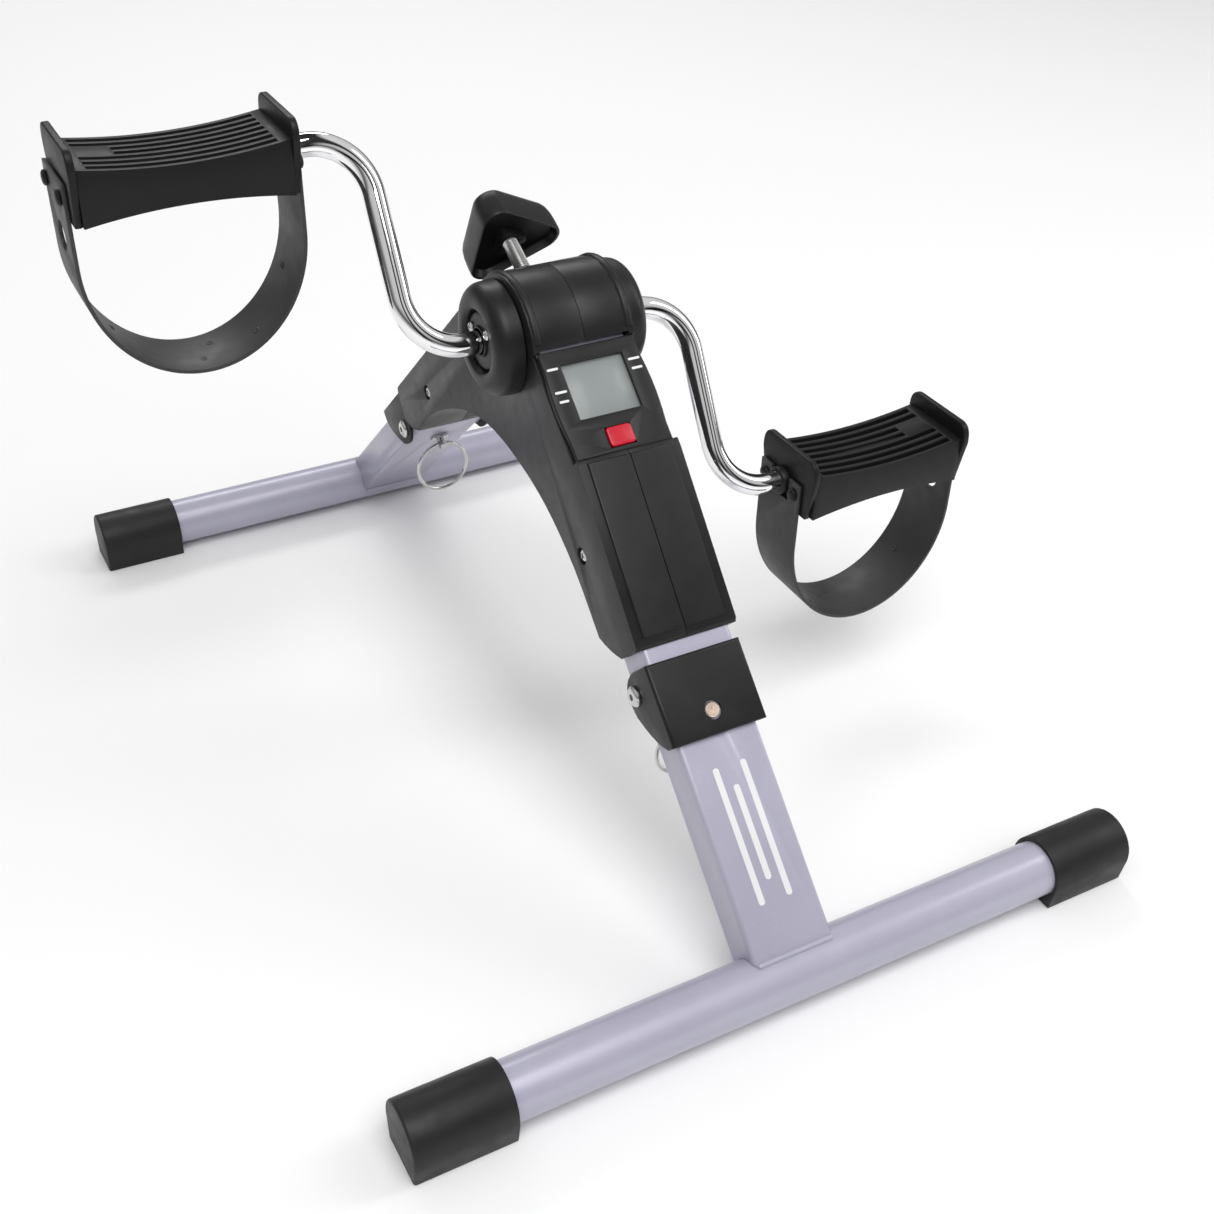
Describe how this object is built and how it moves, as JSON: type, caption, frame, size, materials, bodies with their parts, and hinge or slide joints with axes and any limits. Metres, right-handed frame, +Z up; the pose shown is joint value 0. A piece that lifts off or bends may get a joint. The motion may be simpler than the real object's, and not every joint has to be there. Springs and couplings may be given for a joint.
{
  "type": "pedal exerciser",
  "caption": "Folding pedal exerciser: steel A-frame on two floor bars, bent-rod cranks with strap pedals, plastic housing with a small display, and a tension knob.",
  "frame": {"origin": "on the floor, midway between the two floor bars", "axes": "+X to the user's right, +Y away from the user along the frame, +Z up"},
  "size_m": [0.4336, 0.5324, 0.3454],
  "materials": {
    "frame_paint": "satin lavender-grey paint on steel tube",
    "black_plastic": "black moulded plastic with a fine satin grain",
    "housing_plastic": "charcoal moulded plastic with a fine satin grain",
    "rubber": "black moulded rubber",
    "crank_chrome": "bright chrome on bent steel rod",
    "zinc_steel": "zinc-plated steel",
    "button_metal": "pale coppered steel",
    "nylon": "natural nylon",
    "brake_felt": "pressed felt",
    "lcd": "grey-green liquid crystal cell",
    "lens": "clear window",
    "circuit_board": "green lacquered board",
    "red_button": "red satin plastic",
    "magnet": "nickel-plated magnet"
  },
  "bodies": {
    "frame": {"front_upper_tube": "frame_paint", "rear_upper_tube": "frame_paint", "hub_shell": "frame_paint", "front_hinge_cover": "black_plastic", "rear_hinge_cover": "black_plastic", "left_hub_cover": "black_plastic", "right_hub_cover": "black_plastic", "left_flange_plate": "black_plastic", "right_flange_plate": "black_plastic", "display_case": "black_plastic", "reed_sensor": "black_plastic", "left_housing_shell": "housing_plastic", "right_housing_shell": "housing_plastic", "front_pivot_bolt": "zinc_steel", "rear_pivot_bolt": "zinc_steel", "front_pivot_nut": "zinc_steel", "rear_pivot_nut": "zinc_steel", "left_hub_screw_1": "zinc_steel", "left_hub_screw_2": "zinc_steel", "right_hub_screw_1": "zinc_steel", "right_hub_screw_2": "zinc_steel", "front_left_housing_screw": "zinc_steel", "front_right_housing_screw": "zinc_steel", "rear_left_housing_screw": "zinc_steel", "rear_right_housing_screw": "zinc_steel", "stud_nut": "zinc_steel", "battery": "zinc_steel", "front_pin_button": "button_metal", "rear_pin_button": "button_metal", "left_bearing": "nylon", "right_bearing": "nylon", "brake_pad": "brake_felt", "lcd_panel": "lcd", "display_lens": "lens", "circuit_board": "circuit_board"},
    "front_leg": {"front_floor_bar": "frame_paint", "front_left_cap": "rubber", "front_right_cap": "rubber", "front_leg_tube": "frame_paint"},
    "rear_leg": {"rear_floor_bar": "frame_paint", "rear_left_cap": "rubber", "rear_right_cap": "rubber", "rear_leg_tube": "frame_paint"},
    "front_pin": {"front_lock_pin": "zinc_steel"},
    "rear_pin": {"rear_lock_pin": "zinc_steel"},
    "front_ring": {"front_pull_ring": "zinc_steel"},
    "rear_ring": {"rear_pull_ring": "zinc_steel"},
    "crankset": {"brake_drum": "zinc_steel", "left_crank": "crank_chrome", "right_crank": "crank_chrome", "sensor_magnet": "magnet"},
    "left_pedal": {"left_pedal_body": "black_plastic", "left_pedal_bush": "black_plastic", "left_foot_strap": "rubber"},
    "right_pedal": {"right_pedal_body": "black_plastic", "right_pedal_bush": "black_plastic", "right_foot_strap": "rubber"},
    "tension_screw": {"tension_stud": "zinc_steel"},
    "tension_knob": {"tension_knob": "black_plastic"},
    "reset_button": {"reset_button": "red_button"}
  },
  "joints": [
    {"name": "front_leg_fold", "type": "hinge", "parent": "frame", "child": "front_leg", "pos_m": [0, -0.14142, 0.11077], "axis": [1, 0, 0], "range_deg": [0, 86]},
    {"name": "rear_leg_fold", "type": "hinge", "parent": "frame", "child": "rear_leg", "pos_m": [0, 0.14142, 0.11077], "axis": [-1, 0, 0], "range_deg": [0, 94]},
    {"name": "front_pin_pull", "type": "slide", "parent": "front_leg", "child": "front_pin", "axis": [0, 0.6884, -0.7254], "range_m": [0, 0.024]},
    {"name": "rear_pin_pull", "type": "slide", "parent": "rear_leg", "child": "rear_pin", "axis": [0, -0.6884, -0.7254], "range_m": [0, 0.024]},
    {"name": "front_ring_swing", "type": "hinge", "parent": "front_pin", "child": "front_ring", "pos_m": [0, -0.14766, 0.0912], "axis": [1, 0, 0], "range_deg": [-30, 15]},
    {"name": "rear_ring_swing", "type": "hinge", "parent": "rear_pin", "child": "rear_ring", "pos_m": [0, 0.14766, 0.0912], "axis": [-1, 0, 0], "range_deg": [-30, 15]},
    {"name": "crank_turn", "type": "hinge", "parent": "frame", "child": "crankset", "pos_m": [0, -0.0015, 0.235], "axis": [1, 0, 0], "continuous": true},
    {"name": "left_pedal_turn", "type": "hinge", "parent": "crankset", "child": "left_pedal", "pos_m": [0, 0.0512, 0.3238], "axis": [1, 0, 0], "continuous": true},
    {"name": "right_pedal_turn", "type": "hinge", "parent": "crankset", "child": "right_pedal", "pos_m": [0, -0.0542, 0.1462], "axis": [1, 0, 0], "continuous": true},
    {"name": "tension_screw_travel", "type": "slide", "parent": "frame", "child": "tension_screw", "axis": [0, 0.8829, 0.4695], "range_m": [-0.0025, 0.0025]},
    {"name": "tension_knob_turn", "type": "hinge", "parent": "tension_screw", "child": "tension_knob", "pos_m": [0, -0.0015, 0.235], "axis": [0, 0.8829, 0.4695], "range_deg": [-720, 720]},
    {"name": "reset_button_press", "type": "slide", "parent": "frame", "child": "reset_button", "axis": [0, 0.6468, -0.7627], "range_m": [0, 0.0012], "stiffness_N_per_m": 500, "springref_m": -0.0004}
  ],
  "couplings": [
    {"joint": "tension_screw_travel", "follows": "tension_knob_turn", "m_per_rad": 0.0001989}
  ]
}
